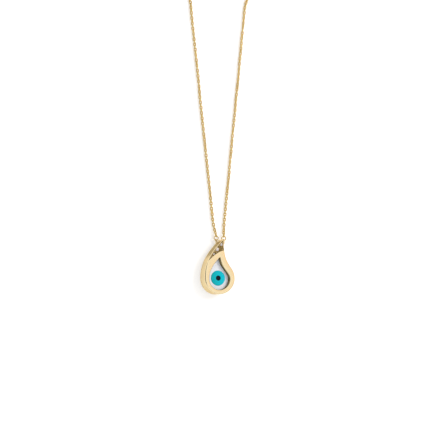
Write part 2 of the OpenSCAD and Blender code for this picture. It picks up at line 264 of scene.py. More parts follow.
def noise(where, scale, detail=3.0, distortion=0.0):
    """Cloudy value round a half, with so many blots a metre."""
    node = where.id_data.nodes.new("ShaderNodeTexNoise")
    feed(node, Vector=where, Scale=scale, Detail=detail, Distortion=distortion)
    return node.outputs["Fac"]


def mapped(value, from_low, from_high, to_low, to_high):
    """The value stretched from one range to another, and kept inside it."""
    node = value.id_data.nodes.new("ShaderNodeMapRange")
    feed(node, Value=value, From_Min=from_low, From_Max=from_high, To_Min=to_low, To_Max=to_high)
    return node.outputs["Result"]


def math_node(operation, a, b):
    """A socket's number, added to or multiplied by another socket's or a constant."""
    node = a.id_data.nodes.new("ShaderNodeMath")
    node.operation = operation
    a.id_data.links.new(a, node.inputs[0])
    if isinstance(b, bpy.types.NodeSocket):
        a.id_data.links.new(b, node.inputs[1])
    else:
        node.inputs[1].default_value = b
    return node.outputs[0]


def mixed(factor, a, b, blend="MIX"):
    """Colour a share of the way from a to b. Each of the three may be a socket or a constant."""
    tree = next(v for v in (factor, a, b) if isinstance(v, bpy.types.NodeSocket)).id_data
    node = tree.nodes.new("ShaderNodeMix")
    node.data_type, node.blend_type = "RGBA", blend
    for socket, value in ((node.inputs[0], factor), (node.inputs[6], a), (node.inputs[7], b)):
        if isinstance(value, bpy.types.NodeSocket):
            tree.links.new(value, socket)
        else:
            socket.default_value = (*value, 1) if isinstance(value, tuple) else value
    return node.outputs[2]


def bumped(height, distance_mm):
    """Normal of a surface with a relief of this height."""
    node = height.id_data.nodes.new("ShaderNodeBump")
    feed(node, Height=height, Distance=distance_mm * MM, Strength=1.0)
    return node.outputs["Normal"]


# %% The gold group
gold_group, given, gold_out = new_group(
    "gold_polish_and_painted_shade",
    [("Coordinates", "NodeSocketVector", (0, 0, 0)), ("Tint", "NodeSocketColor", (0.9, 0.75, 0.4, 1)),
     ("Recess", "NodeSocketFloat", 0.0), ("Polish", "NodeSocketFloat", 0.12)],
    [("Color", "NodeSocketColor"), ("Roughness", "NodeSocketFloat"), ("Height", "NodeSocketFloat")])
clouds = noise(given["Coordinates"], 420.0, 4)
stretch = gold_group.nodes.new("ShaderNodeMapping")
feed(stretch, Vector=given["Coordinates"], Scale=(900, 5200, 900))
scratches = noise(stretch.outputs["Vector"], 1.0, 2, 0.4)
warm = mixed(1.0, given["Tint"], mapped(clouds, 0.3, 0.7, 0.93, 1.0), "MULTIPLY")
# Painted shade: the mesh's painted shade value turns the colour to olive and dulls the polish, for walls
# and hollows that lie in shade.
painted_dark = math_node("MULTIPLY", given["Recess"], mapped(clouds, 0.3, 0.7, 0.8, 1.0))
shade_olive = (0.20, 0.14, 0.025)
rough = math_node("ADD", given["Polish"], mapped(scratches, 0.35, 0.65, -0.03, 0.05))
feed(gold_out, Color=mixed(painted_dark, warm, shade_olive), Height=scratches,
     Roughness=math_node("ADD", rough, math_node("MULTIPLY", painted_dark, 0.25)))


# %% Materials of the metal parts
def new_material(name):
    """A material, its shader and the socket that gives a point's place."""
    material = bpy.data.materials.new(name)
    material.use_nodes = True
    nodes = material.node_tree.nodes
    return material, nodes["Principled BSDF"], nodes.new("ShaderNodeTexCoord").outputs["Object"]


def placed_group(group_tree, where):
    """A node group placed in a material, fed with the point's place."""
    group = where.id_data.nodes.new("ShaderNodeGroup")
    group.node_tree = group_tree
    feed(group, Coordinates=where)
    return group


def attribute_value(where, name):
    """Value that the mesh stores under a name, in the same material as where."""
    node = where.id_data.nodes.new("ShaderNodeAttribute")
    node.attribute_name = name
    return node.outputs["Fac"]


def gold_material(name, tint, polish, scratch_depth):
    """Polished metal of a tint, with the shared surface effect."""
    material, shader, where = new_material(name)
    group = placed_group(gold_group, where)
    feed(group, Tint=tint, Polish=polish, Recess=attribute_value(where, "painted_shade"))
    feed(shader, Base_Color=group.outputs["Color"], Roughness=group.outputs["Roughness"],
         Normal=bumped(group.outputs["Height"], scratch_depth), Metallic=1.0,
         Specular_Tint=(0.90, 0.79, 0.60))
    return material


polished_gold = gold_material("polished_gold", (0.96, 0.80, 0.50), 0.10, 0.0012)
fitting_gold = gold_material("fitting_gold", (0.93, 0.74, 0.40), 0.16, 0.001)
# Painted shade: the chain's deeper tint stands in for the light its links reflect onto one another.
chain_gold = gold_material("chain_gold", (0.88, 0.67, 0.27), 0.12, 0.001)
# Painted shade: a near-black gold for the plate between the stones, where shade falls.
shaded_seat_gold = gold_material("shaded_seat_gold", (0.20, 0.14, 0.045), 0.35, 0.002)
steel = gold_material("spring_steel", (0.62, 0.62, 0.62), 0.25, 0.001)

# %% [markdown]
# ## Chain
#
# A cable chain is one oval wire loop, repeated, each loop turned a quarter round from the
# last. One loop is worked out once, and arrays place all its copies along the strand's
# path, so a strand stays one mesh. A strand runs from its jump ring past the far end of the
# table, where the spare length is wound in a coil as for storage, and ends in its fitting.

# %% Routes of the two strands, in millimetres
chain_width, link_wire, link_pitch = 0.95, 0.3, 0.74
wire_r = 0.15                                            # of the rings
turn_gap = chain_width
coil_r, coil_y, coil_low_z = 5.4, 82.5, 0.1 + chain_width / 2
left_coil_x, right_coil_x = -6.0, 6.95

run_y = [8.55, 9.4, 10.3, 11.4, 13, 16, 19, 22.5, 26, 29.5, 33, 36.5, 40, 43.5, 47, 50.5, 54, 57.5, 61,
         64.5, 68, 71, 73.6, 75.6, 77.4]
run_z = [0.9, 0.8, 0.63, 0.52, *[0.48] * 18, 0.49, 0.51, 0.54]
left_x = [-0.01, -0.2, -0.4, -0.6, -0.85, -1.2, -1.5, -1.9, -2.3, -2.7, -3.1, -3.5, -3.9, -4.3, -4.7,
          -5, -5.4, -5.8, -6.2, -6.6, -7, -7.3, -7.6, -8.4, -9.6]
right_x = [2.24, 2.28, 2.35, 2.45, 2.6, 2.9, 3.2, 3.6, 4, 4.3, 4.7, 5, 5.4, 5.8, 6.1, 6.5, 6.9, 7.2,
           7.6, 7.9, 8.3, 8.6, 8.9, 9.5, 10.6]
left_tail = [(-7.9, 88.2, 1.5), (-6.8, 89, 1.36), (-5.7, 90, 1.12), (-4.6, 91, 0.98),
             (-3.1, 91.6, 0.91)]
right_tail = [(9.1, 88.1, 1.5), (8.45, 88.6, 1.36), (8.05, 89.3, 1.12), (8, 90, 0.91)]


def eased(x, start, end):
    """0 before start, 1 after end, and a soft step between."""
    t = np.clip((x - start) / (end - start), 0, 1)
    return t * t * (3 - 2 * t)


def wound(centre_x, mirror):
    """Path of a stored coil seen as turns a chain's width apart: outside below, inside below,
    inside above, outside above. The radius and the height step over within a sixth of a turn,
    each where the turns under it lie flat. mirror is -1 for a coil wound the other way."""
    step, whole = 12.0, 1175                             # degrees: a little over three turns
    angle = np.arange(0, whole, step)
    inner, outer = coil_r - turn_gap / 2, coil_r + turn_gap / 2
    radius = outer + (inner - outer) * (eased(angle, 300, 360) - eased(angle, 900, 960))
    z = coil_low_z + turn_gap * eased(angle, 600, 660)
    around = np.radians(214 - angle)
    return np.stack([centre_x + mirror * radius * np.cos(around),
                     coil_y + radius * np.sin(around), z], axis=1)


left_path, left_length = smooth_path(
    [*zip(left_x, run_y, run_z), *wound(left_coil_x, 1), *left_tail], 0.5)
right_path, right_length = smooth_path(
    [*zip(right_x, run_y, run_z), *wound(right_coil_x, -1), *right_tail], 0.5)
print(f"left strand {left_length:.0f} mm, right strand {right_length:.0f} mm")


# %% One link, and all its copies
def oval_link(half_length, half_width, wire_r, around=14, sides=6):
    """A wire of round section bent to an oval. At angle a the wire's middle lies at
    (half_length cos a, half_width sin a), with both drawn a little towards the corners, and its
    section stands square to the oval."""
    a = full_turn(around)
    s = full_turn(sides) + np.pi / sides
    corner = 0.85
    middle = np.stack([half_length * squarer(np.cos(a), corner), half_width * squarer(np.sin(a), corner),
                       np.zeros_like(a)], axis=1)
    along = unit(np.roll(middle, -1, axis=0) - np.roll(middle, 1, axis=0))
    out = np.stack([along[:, 1], -along[:, 0], np.zeros_like(a)], axis=1)
    points = (middle[:, None] + wire_r * np.cos(s)[None, :, None] * out[:, None]
              + wire_r * np.sin(s)[None, :, None] * np.array([0, 0, 1.0]))
    return points.reshape(-1, 3), grid_faces(around, sides, wrap_rows=True)


def linked_strand(path, length, seed):
    """All links of a strand. The links stand at an even pitch, each a quarter turn round from the
    last. The whole strand also winds to and fro by up to 26 degrees, and each link has some play.
    The first stands upright in its flat jump ring, and the last lies flat round its upright link
    ring, so the winding and the play fade out towards both ends."""
    half_length, half_width = 0.52, (chain_width - link_wire) / 2
    lying_roll, spread, winding, winding_rate = 28, 12, 26, 0.31
    hook = half_length - link_wire / 2 - wire_r
    count = round((length - 2 * hook) / link_pitch) + 1
    at = np.linspace(hook, length - hook, count)
    along = np.linspace(0, length, len(path))

    def place(s):
        return np.stack([np.interp(s, along, path[:, k]) for k in range(3)], axis=1)

    forward = unit(place(at + 0.4) - place(at - 0.4))
    side = unit(np.cross(forward, [0, 0, 1.0]))
    up = np.cross(side, forward)
    k = np.arange(count)
    settle = np.exp(-k / 3.0)
    finish = np.exp(-(count - 1 - k) / 3.0)
    last = 90.0 * (count % 2)
    play = (np.random.default_rng(seed).normal(0, spread, count)
            + winding * np.sin(winding_rate * k + seed)) * (1 - settle) * (1 - finish)
    base = lying_roll + (90 - lying_roll) * settle + (last - lying_roll) * finish
    roll = np.radians(base + 90 * (k % 2) + play)
    across = np.cos(roll)[:, None] * side + np.sin(roll)[:, None] * up
    normal = np.cross(forward, across)
    link, faces = oval_link(half_length, half_width, link_wire / 2)
    turned = (link[None, :, 0, None] * forward[:, None] + link[None, :, 1, None] * across[:, None]
              + link[None, :, 2, None] * normal[:, None])
    points = place(at)[:, None] + turned
    faces = faces[None] + (np.arange(count) * len(link))[:, None, None]
    print(count, "links")
    return points.reshape(-1, 3), faces.reshape(-1, 4)[:, ::-1]


left_strand = make_piece("left_chain_strand", *linked_strand(left_path, left_length, 3), "chain",
                         chain_gold, ("left_chain", "left_chain_coil"), "chain_gold", 180, False)
right_strand = make_piece("right_chain_strand", *linked_strand(right_path, right_length, 8), "chain",
                          chain_gold, ("right_chain", "right_chain_coil"), "chain_gold", 180, False)

# %% [markdown]
# ## Table and light
#
# A white table that gives a little light of its own, as a lit sweep does, and a soft lamp above
# to the right that casts the shadow. Polished gold shows nothing but its surroundings, so the
# lamp stays out of the reflections and the room does the rest: it is bright overhead, darker on
# the left and straight ahead, and a little warmer on the right.

# %% Table, lamp and room
lamp_data = bpy.data.lights.new("key_lamp", "AREA")
lamp_data.shape, lamp_data.size, lamp_data.energy = "DISK", 0.25, 1.9
lamp_data.color = (1.0, 0.985, 0.96)
lamp_place, lamp_aim = np.array([0.42, 0.28, 0.58]), np.array([0, 0.02, 0])
key_lamp = place_object("key_lamp", lamp_data)
key_lamp.location = lamp_place
key_lamp.visible_glossy = False
key_lamp.rotation_euler = Vector(lamp_aim - lamp_place).to_track_quat("-Z", "Y").to_euler()

table_mesh = bpy.data.meshes.new("table")
half, table_z = 3.0, -5e-6
table_mesh.from_pydata([(x, y, table_z) for x, y in
                        ((-half, -half), (half, -half), (half, half), (-half, half))],
                       [], [(0, 1, 2, 3)])
table = place_object("table", table_mesh)
table_white, shader, where = new_material("table_white")
feed(shader, Base_Color=mixed(noise(where, 60.0), (0.74, 0.74, 0.74), (0.76, 0.76, 0.76)),
     Emission_Color=(1, 1, 1), Emission_Strength=0.46, Roughness=0.9, Specular_IOR_Level=0.2)
table_mesh.materials.append(table_white)

room = bpy.data.worlds.new("room")
bpy.context.scene.world = room
room.use_nodes = True
room_nodes = room.node_tree.nodes
way = room_nodes.new("ShaderNodeTexCoord").outputs["Generated"]


def facing(direction):
    """How squarely the room's light comes from a direction: 1 straight from it, 0 from the side."""
    node = room_nodes.new("ShaderNodeVectorMath")
    node.operation = "DOT_PRODUCT"
    way.id_data.links.new(way, node.inputs[0])
    node.inputs[1].default_value = direction
    return node.outputs["Value"]


overhead = mapped(facing((0, 0, 1)), 0.05, 0.6, 0.33, 1.01)
from_left = mapped(facing((-0.95, 0.1, 0.28)), 0.58, 0.88, 1.0, 0.08)
open_front = mapped(facing(tuple(to_camera)), 0.955, 0.99, 1.0, 0.3)
to_window = mapped(facing((0.80, 0.50, 0.33)), 0.54, 0.84, 0, 1)
feed(room_nodes["Background"], Color=mixed(to_window, (1.0, 1.0, 1.0), (1.0, 0.82, 0.66)),
     Strength=math_node("MULTIPLY", math_node("MULTIPLY", overhead, from_left), open_front))
bpy.context.scene.view_settings.view_transform = "Standard"
bpy.context.scene.view_settings.look = "None"

# %% [markdown]
# ## Outlines of the drop
#
# The drop is a round end and two flanks that meet in a leaning tip. Its window is the same
# kind of drop. Each outline is an arc and two cubic curves, so it is smooth everywhere but at
# its tip. The sizes are read from the measured parts.

# %% Outline of the drop, of its window and of the stone field
drop_low, drop_high = corners("drop_frame")
drop_w, drop_h = (drop_high - drop_low)[:2]
face_z = drop_high[2]
back_t = drop_low[2]
side_steps = 72

drop_r = drop_w / 2
round_y = drop_r - drop_h / 2
tip = np.array([1.05, drop_h / 2])
flank_h = tip[1] - round_y
leave = math.radians(38)
right_start = np.array([0, round_y]) + drop_r * np.array([math.cos(leave), math.sin(leave)])
right_hip = right_start + 0.31 * drop_w * np.array([-math.sin(leave), math.cos(leave)])
right_flank = cubic(right_start, right_hip, (tip[0] + 0.05, round_y + 0.6 * flank_h), tip, side_steps)
left_flank = cubic(tip, (tip[0] - 0.385 * drop_w, round_y + 0.665 * flank_h),
                   (-drop_r, round_y + 0.41 * flank_h), (-drop_r, round_y), side_steps)
drop_outline = np.concatenate([arc((0, round_y), drop_r, 180, 398, 2 * side_steps)[:-1],
                               right_flank[:-1], left_flank[:-1]])

window_w, window_h, window_x, window_sink = 6.05, 8.9, -0.1, 0.25
window_r, window_y = window_w / 2, round_y - window_sink
window_tip = np.array([window_x + 0.1, window_y - window_r + window_h])
window_rise = window_tip[1] - window_y
window_outline = np.concatenate([
    arc((window_x, window_y), window_r, 180, 360, 2 * side_steps)[:-1],
    cubic((window_x + window_r, window_y), (window_x + window_r, window_y + 0.33 * window_rise),
          (window_tip[0] + 0.07 * window_w, window_y + 0.48 * window_rise), window_tip,
          side_steps)[:-1],
    cubic(window_tip, (window_tip[0] - 0.3 * window_w, window_y + 0.69 * window_rise),
          (window_x - window_r, window_y + 0.36 * window_rise), (window_x - window_r, window_y),
          side_steps)[:-1]])


def inset(outline, by):
    """Each point of a closed outline moved inwards, square to the line through its neighbours."""
    along = unit(np.roll(outline, -1, axis=0) - np.roll(outline, 1, axis=0))
    return outline + by * np.stack([-along[:, 1], along[:, 0]], axis=1)


rim_w = 0.16
rim = inset(drop_outline, rim_w)
right_at, tip_at = 2 * side_steps, 3 * side_steps
right_from = right_at + round(side_steps * 17 / 24)      # where the field meets the right rim
right_to = right_at + round(side_steps * 23 / 24)
left_from = tip_at + round(side_steps / 24)
left_to = tip_at + round(side_steps * 14 / 24)           # where it meets the left rim
band_w, hip_band_w = 1.75, 2.3                           # gold between the field and the window
lower_curve = cubic(
    rim[left_to], (window_tip[0] - 0.3 * window_w, window_y + 0.69 * window_rise + hip_band_w),
    window_tip + [-0.2, band_w], rim[right_from], 36)
field_outline = np.concatenate([lower_curve[:-1], rim[right_from:right_to + 1],
                                rim[left_from:left_to]])
print(f"drop {drop_w:.1f} x {drop_h:.1f} mm, {len(drop_outline)} points round it")


# %% Distances on the face
def distance_to(outline, points):
    """Distance from each point to a closed outline, and the number of the nearest stretch."""
    a, b = outline, np.roll(outline, -1, axis=0)
    ab = b - a
    t = np.einsum("pk,sk->ps", points, ab) - np.einsum("sk,sk->s", a, ab)
    t = np.clip(t / np.maximum(np.einsum("sk,sk->s", ab, ab), 1e-12), 0, 1)
    near = a[None] + t[..., None] * ab[None]
    d = np.linalg.norm(points[:, None] - near, axis=2)
    best = d.argmin(axis=1)
    return d[np.arange(len(points)), best], best


def round_off(d, r):
    """How far a quarter-round edge of radius r has dropped at a distance d from the edge."""
    inside = np.clip(r - d, 0, None)
    return r - np.sqrt(np.clip(r * r - inside * inside, 0, None))


edge_r, rim_edge_r, window_edge_r, field_edge_r, crown = 0.28, 0.08, 0.16, 0.05, 0.06


def outer_edge_r(number):
    """Radius of the drop's edge at an outline point: small round the stone field, larger elsewhere."""
    steps_away = np.maximum(right_from - 2 - number, number - left_to - 2)
    return rim_edge_r + (edge_r - rim_edge_r) * eased(steps_away, 0, 14)


def face_height(points):
    """Height of the face: a low crown between the drop's edge and the window, less the round of
    each edge."""
    outer, number = distance_to(drop_outline, points)
    inner, _ = distance_to(window_outline, points)
    field, _ = distance_to(field_outline, points)
    share = outer / (outer + inner)
    return (face_z - crown * (2 * share - 1) ** 2 * eased(outer + inner, 0, 2.5)
            - round_off(outer, outer_edge_r(number)) - round_off(inner, window_edge_r)
            - round_off(field, field_edge_r))


# %% [markdown]
# ## The gold drop
#
# A cast and polished drop has no sharp edge: every edge turns over in a small round that
# catches a line of light. A flat plate with a bevel would look stamped. Here the face is laid
# as rows of points between the drop's edge and the window, close together at both edges, and
# the height of each point is worked out from its distance to the edges.

# %% Face, walls and sunk field of the drop
def across(number, count=5):
    """Points from the drop's edge to the rim's inner line at one outline point."""
    t = np.linspace(0, 1, count)[:, None]
    return drop_outline[number] * (1 - t) + rim[number] * t


outer_loop = np.concatenate([
    drop_outline[:right_from], across(right_from)[:-1], lower_curve[::-1],
    across(left_to)[::-1][1:], drop_outline[left_to + 1:]])


def length_along(points):
    """How far along a line each of its points lies."""
    return np.concatenate([[0], np.cumsum(np.linalg.norm(np.diff(points, axis=0), axis=1))])


def matched(loop, other, at, other_at):
    """Points of the other loop, one for each point of the first, at the same share of the way from
    their starts to a pinned pair and from there back round."""
    found = []
    for first, second in ((slice(0, at + 1), slice(0, other_at + 1)),
                          (slice(at, None), slice(other_at, None))):
        a = loop[first] if first.stop else np.concatenate([loop[first], loop[:1]])
        b = other[second] if second.stop else np.concatenate([other[second], other[:1]])
        la, lb = length_along(a), length_along(b)
        share = la / la[-1] * lb[-1]
        found.append(np.stack([np.interp(share, lb, b[:, k]) for k in range(2)], axis=1)[:-1])
    return np.concatenate(found)


top_at = int(np.linalg.norm(outer_loop - window_tip, axis=1)[right_from:left_to].argmin()) + right_from
window_loop = matched(outer_loop, window_outline, top_at, 3 * side_steps)
width = np.linalg.norm(window_loop - outer_loop, axis=1)
quarter = 1 - np.cos(np.linspace(0, np.pi / 2, 7))
start = np.concatenate([edge_r * quarter, [edge_r * 1.5]])[:, None] / width
end = 1 - np.concatenate([[window_edge_r * 1.6], window_edge_r * quarter[::-1]])[:, None] / width
middle = start[-1] + (end[0] - start[-1]) * np.linspace(0, 1, 8)[1:-1, None]
share = np.concatenate([start, middle, end])
flat = outer_loop + share[..., None] * (window_loop - outer_loop)
flat = flat.reshape(-1, 2)
face_part = (at_height(flat, face_height(flat)), grid_faces(len(share), len(outer_loop)))

rim_outer = drop_outline[right_from:left_to + 1]
short_edge = np.linspace(rim[right_to], rim[left_from], left_from - right_to + 1)
rim_inner = np.concatenate([rim[right_from:right_to], short_edge, rim[left_from + 1:left_to + 1]])
t = np.linspace(0, 1, 5)[:, None, None]
strip = (rim_outer[None] * (1 - t) + rim_inner[None] * t).reshape(-1, 2)
rim_part = (at_height(strip, face_height(strip)), grid_faces(5, len(rim_outer), wrap_cols=False))


def wall(outline, top, levels):
    """Upright wall under an outline: from its top heights down through the levels."""
    points = np.concatenate([at_height(outline, z) for z in (top, *levels)])
    return points, grid_faces(1 + len(levels), len(outline))


seam, pit_z = 0.02, 2.75
outer_top = face_height(drop_outline)
outer_wall = wall(drop_outline, outer_top, [3.2, 2.6, 2.0, 1.4, 0.9, back_t + seam])
window_wall = wall(window_loop, face_height(window_loop), [3.4, 3.1, 2.8, 2.5, 2.2, back_t])
field_wall = wall(field_outline, face_height(field_outline), [3.5, 3.35, pit_z])
pit_floor = (at_height(field_outline, pit_z), [list(range(len(field_outline)))])
foot = inset(drop_outline, seam)
foot_part = (np.concatenate([at_height(drop_outline, back_t + seam), at_height(foot, back_t)]),
             grid_faces(2, len(foot)))


def flat_ring(outer, inner, z):
    """Flat face between two outlines, cut in triangles."""
    from mathutils.geometry import tessellate_polygon
    loops = [[Vector((*p, z)) for p in outline] for outline in (outer, inner)]
    return (np.array([tuple(p) for loop in loops for p in loop]),
            [list(f) for f in tessellate_polygon(loops)])


points, faces = joined([face_part, rim_part, outer_wall, window_wall, field_wall, pit_floor,
                        foot_part, flat_ring(foot, window_loop, back_t)])
# Painted shade: the window's wall, the sunk field and the strip of outer wall beside it are darkened
# where they lie in shade.
window_shade = distance_to(window_outline, points[:, :2])[0] < 0.05
depth = face_z - points[:, 2]
field_shade = (distance_to(field_outline, points[:, :2])[0] < 0.004) & (depth > 0.1)
field_shade &= distance_to(drop_outline, points[:, :2])[0] > 0.05
painted_shade = np.where(window_shade, eased(depth, 0.03, 0.35) * 0.95, 0) + np.where(field_shade, 0.9, 0)
off_edge, number = distance_to(drop_outline, points[:, :2])
wall_shade_span = eased(number, tip_at, tip_at + 6) * (1 - eased(number, left_to - 16, left_to - 2))
painted_shade = np.maximum(painted_shade, (off_edge < 0.004) * wall_shade_span * eased(depth, 0.08, 0.35) * 0.7)
painted_shade = np.maximum(painted_shade, (np.abs(points[:, 2] - pit_z) < 1e-6) * 1.0)
drop_body = make_piece("gold_drop", points, faces, "drop", polished_gold, ("drop_frame",),
                       "polished_gold", 50, True, painted_shade)
print("gold drop:", len(drop_body.data.polygons), "faces")

# %% Back sheet, with a bevel round its edge
both = np.concatenate([at_height(drop_outline, z) for z in (0, back_t)])
n = len(drop_outline)
lids = [list(range(n))[::-1], list(range(n, 2 * n))]
back_sheet = make_piece("back_sheet", both, grid_faces(2, n).tolist() + lids, "drop", polished_gold,
                        ("back_plate",), "polished_gold", 40)
bevel = back_sheet.modifiers.new("worn_edge", "BEVEL")
bevel.width, bevel.segments, bevel.limit_method = 0.1 * MM, 3, "ANGLE"
bevel.angle_limit = math.radians(60)
bevel.use_clamp_overlap = True

# %% [markdown]
# ## The eye
#
# The eye is built as a jeweller builds it: a thin plate of mother of pearl fills the window,
# a round turquoise enamel disc sits in a hole in the plate, and a black stone sits in the
# disc. Round parts are turned: a profile goes once round an axis, as on a lathe.

# %% Mother of pearl, enamel and stone materials
pearl_group, given, pearl_out = new_group(
    "nacre_layers", [("Coordinates", "NodeSocketVector", (0, 0, 0))],
    [("Color", "NodeSocketColor"), ("Height", "NodeSocketFloat")])
waves = pearl_group.nodes.new("ShaderNodeTexWave")
feed(waves, Vector=given["Coordinates"], Scale=260, Distortion=7, Detail=3, Detail_Scale=1.4)
drift = noise(given["Coordinates"], 350, 3, 1.0)
cool = mixed(mapped(drift, 0.35, 0.65, 0, 1), (0.80, 0.88, 1.0), (0.92, 0.92, 1.0))
layered = mixed(mapped(waves.outputs["Fac"], 0, 1, 0, 0.35), cool, (0.97, 0.95, 0.93))
feed(pearl_out, Color=layered, Height=waves.outputs["Fac"])

pearl, shader, where = new_material("mother_of_pearl")
group = placed_group(pearl_group, where)
sheen = where.id_data.nodes.new("ShaderNodeLayerWeight")
feed(sheen, Blend=0.35)
feed(shader, Base_Color=mixed(sheen.outputs["Facing"], group.outputs["Color"], (0.80, 0.93, 0.95)),
     Normal=bumped(group.outputs["Height"], 0.004), Roughness=0.22, Coat_Weight=0.6,
     Coat_Roughness=0.06)


def glossy_material(name, first, second, scale, roughness, coat, depth=0.002, gloss=0.5):
    """Smooth hard material whose colour drifts between two shades, under a clear gloss."""
    material, shader, where = new_material(name)
    drift = noise(where, scale, 4, 0.6)
    fine = noise(where, scale * 6)
    feed(shader, Base_Color=mixed(mapped(drift, 0.35, 0.65, 0, 1), first, second),
         Roughness=mapped(fine, 0.3, 0.7, roughness * 0.7, roughness * 1.3),
         Normal=bumped(drift, depth), Specular_IOR_Level=gloss, Coat_Weight=coat, Coat_Roughness=0.04)
    return material


turquoise, shader, where = new_material("turquoise_enamel")
placed = where.id_data.nodes.new("ShaderNodeSeparateXYZ")
feed(placed, Vector=where)
# Painted light: the disc's colour runs from a darker teal on its left to a lighter blue on its right,
# the side the lamp lights.
lit_side = mapped(placed.outputs["X"], -2.2 * MM, 2.0 * MM, 0, 1)
painted_side_light = mixed(lit_side, (0.0, 0.42, 0.47), (0.0, 0.62, 0.82))
cloud = mapped(noise(where, 1400, 4, 0.5), 0.35, 0.65, 0.0, 0.35)
feed(shader, Base_Color=mixed(cloud, painted_side_light, (0.01, 0.55, 0.62)), Normal=bumped(cloud, 0.003),
     Roughness=0.3, Specular_IOR_Level=0.1, Coat_Weight=0.08, Coat_Roughness=0.08)

onyx = glossy_material("onyx", (0.002, 0.008, 0.018), (0.002, 0.003, 0.008), 900, 0.12, 0.03, 0.002, 0.1)
plaster = glossy_material("cement", (0.62, 0.60, 0.55), (0.7, 0.68, 0.62), 2500, 0.8, 0.0, 0.02)


# %% Turned parts of the eye
def turned(profile, centre, steps=96):
    """Points of a profile of (radius, height) pairs carried round an upright axis. A pole of
    radius zero is kept as a ring of equal points, which the weld makes one."""
    profile = np.asarray(profile, float)
    a = full_turn(steps)
    r, z = profile[:, 0, None], profile[:, 1, None] + 0 * a
    points = np.stack([centre[0] + r * np.cos(a), centre[1] + r * np.sin(a), z], axis=2)
    return points.reshape(-1, 3), grid_faces(len(profile), steps)


def rounded_shoulder(radius, top, r, steps=6):
    """Quarter-round from an upright side at the radius into a face at the top height."""
    a = np.linspace(0, np.pi / 2, steps)
    return np.stack([radius - r + r * np.cos(a), top - r + r * np.sin(a)], axis=1)


iris_low, iris_high = corners("iris_disc")
eye_at = ((iris_low + iris_high) / 2)[:2]
iris_r = (iris_high - iris_low)[0] / 2
bed_top, iris_top = iris_low[2], iris_high[2]
pearl_top = corners("pearl_inlay")[1][2]
pupil_r = (pupil_high - pupil_low)[0] / 2
iris_shoulder, pupil_shoulder, pupil_dome = 0.08, 0.05, 0.11

dome = np.linspace(iris_r - iris_shoulder, pupil_r + 0.06, 12)
rise = iris_top - pearl_top - iris_shoulder
dome_z = pearl_top + iris_shoulder + rise * (1 - (dome / iris_r) ** 2) / (1 - (pupil_r / iris_r) ** 2)
iris_profile = [(0, bed_top), (iris_r, bed_top), *rounded_shoulder(iris_r, dome_z[0], iris_shoulder),
                *np.column_stack([dome, dome_z])[1:], (pupil_r + seam, dome_z[-1] - 0.03),
                (pupil_r + seam, pupil_low[2]), (0, pupil_low[2])]
make_piece("turquoise_iris", *turned(iris_profile, eye_at), "drop", turquoise, ("iris_disc",),
           "turquoise_enamel", 60)

cap = np.linspace(pupil_r - pupil_shoulder, 0, 9)
pupil_profile = [(0, pupil_low[2]), (pupil_r, pupil_low[2]),
                 *rounded_shoulder(pupil_r, pupil_high[2] - pupil_dome, pupil_shoulder, 4),
                 *np.column_stack([cap, pupil_high[2] - pupil_dome * (cap / pupil_r) ** 2])[1:]]
make_piece("onyx_pupil", *turned(pupil_profile, eye_at, 64), "drop", onyx, ("pupil_stone",), "onyx", 60)

# %% Mother-of-pearl plate round the disc
plate_edge = inset(window_outline, seam)
plate_edge[3 * side_steps] = window_tip + [0, -0.06]
angle_from_eye = np.arctan2(*(plate_edge - eye_at).T[::-1])
hole = eye_at + (iris_r + seam) * np.stack([np.cos(angle_from_eye), np.sin(angle_from_eye)], axis=1)
share = np.concatenate([[0, 0.02, 0.06], np.linspace(0.15, 0.97, 9), [1]])[:, None, None]
flat = plate_edge[None] * (1 - share) + hole[None] * share
rounding = 0.05 * (np.array([1, 0.3, 0, *np.zeros(8), 0, 0.4]))[:, None] + 0 * flat[..., 0]
upper = np.concatenate([flat, (pearl_top - rounding)[..., None]], axis=2).reshape(-1, 3)
lower = at_height(np.concatenate([plate_edge, hole]), bed_top)
n, rows = len(plate_edge), len(share)
faces = grid_faces(rows, n).tolist()
ring = np.arange(n)
nxt = (ring + 1) % n
top_edge, top_hole, low_edge, low_hole = 0, (rows - 1) * n, rows * n, (rows + 1) * n
for first, second in ((low_edge, top_edge), (top_hole, low_hole), (low_hole, low_edge)):
    faces += np.stack([first + ring, first + nxt, second + nxt, second + ring], axis=1).tolist()
make_piece("pearl_plate", np.concatenate([upper, lower]), faces, "drop", pearl, ("pearl_inlay",),
           "mother_of_pearl", 50)

# %% [markdown]
# ## Stones
#
# Three small brilliants sit in a pierced plate, held by grains and claws of gold raised from
# it. The plate is a near-black gold, painted shade for the shade between the stones. Smaller
# beads line the rims of the field and fill the ground between the stones. A brilliant is a solid
# bounded by flat facets, so it is made as the hull of its corners: the eight-sided table, the
# crown, the girdle and the point below. A stone this small shows its light facet by facet, so
# each facet gets a painted shade of its own, dark to bright, in place of the reflections of its cut.

# %% Clear stone and the cut of a brilliant
clear, shader, where = new_material("clear_stone")
# Painted reflections: each facet's colour lies between a dark grey and a bright pinkish or bluish white,
# by its facet value.
painted_fire = mixed(mapped(noise(where, 1800, 2), 0.35, 0.65, 0, 1), (1.0, 0.93, 0.94), (0.96, 0.97, 1.0))
feed(shader, Base_Color=mixed(attribute_value(where, "facet"), (0.42, 0.36, 0.38), painted_fire),
     Roughness=0.02, IOR=1.9, Transmission_Weight=0.12, Coat_Weight=1.0, Coat_Roughness=0.01)


def brilliant_corners(diameter):
    """Corners of a brilliant round its axis, its girdle at height zero: table, crown, girdle,
    lower facets, the point, and a middle of the table so low that the table still looks flat."""
    def ring(count, radius, z, twist=0.0):
        a = 2 * np.pi * (np.arange(count) + twist) / count
        return np.stack([radius * np.cos(a), radius * np.sin(a), np.full(count, z)], axis=1)
    return diameter * np.concatenate([
        ring(8, 0.285, 0.155), ring(8, 0.405, 0.098, 0.5), ring(16, 0.5, 0.018), ring(16, 0.5, 0.0),
        ring(8, 0.24, -0.225, 0.5), ring(1, 0.0, -0.425), ring(1, 0.0, 0.165)])


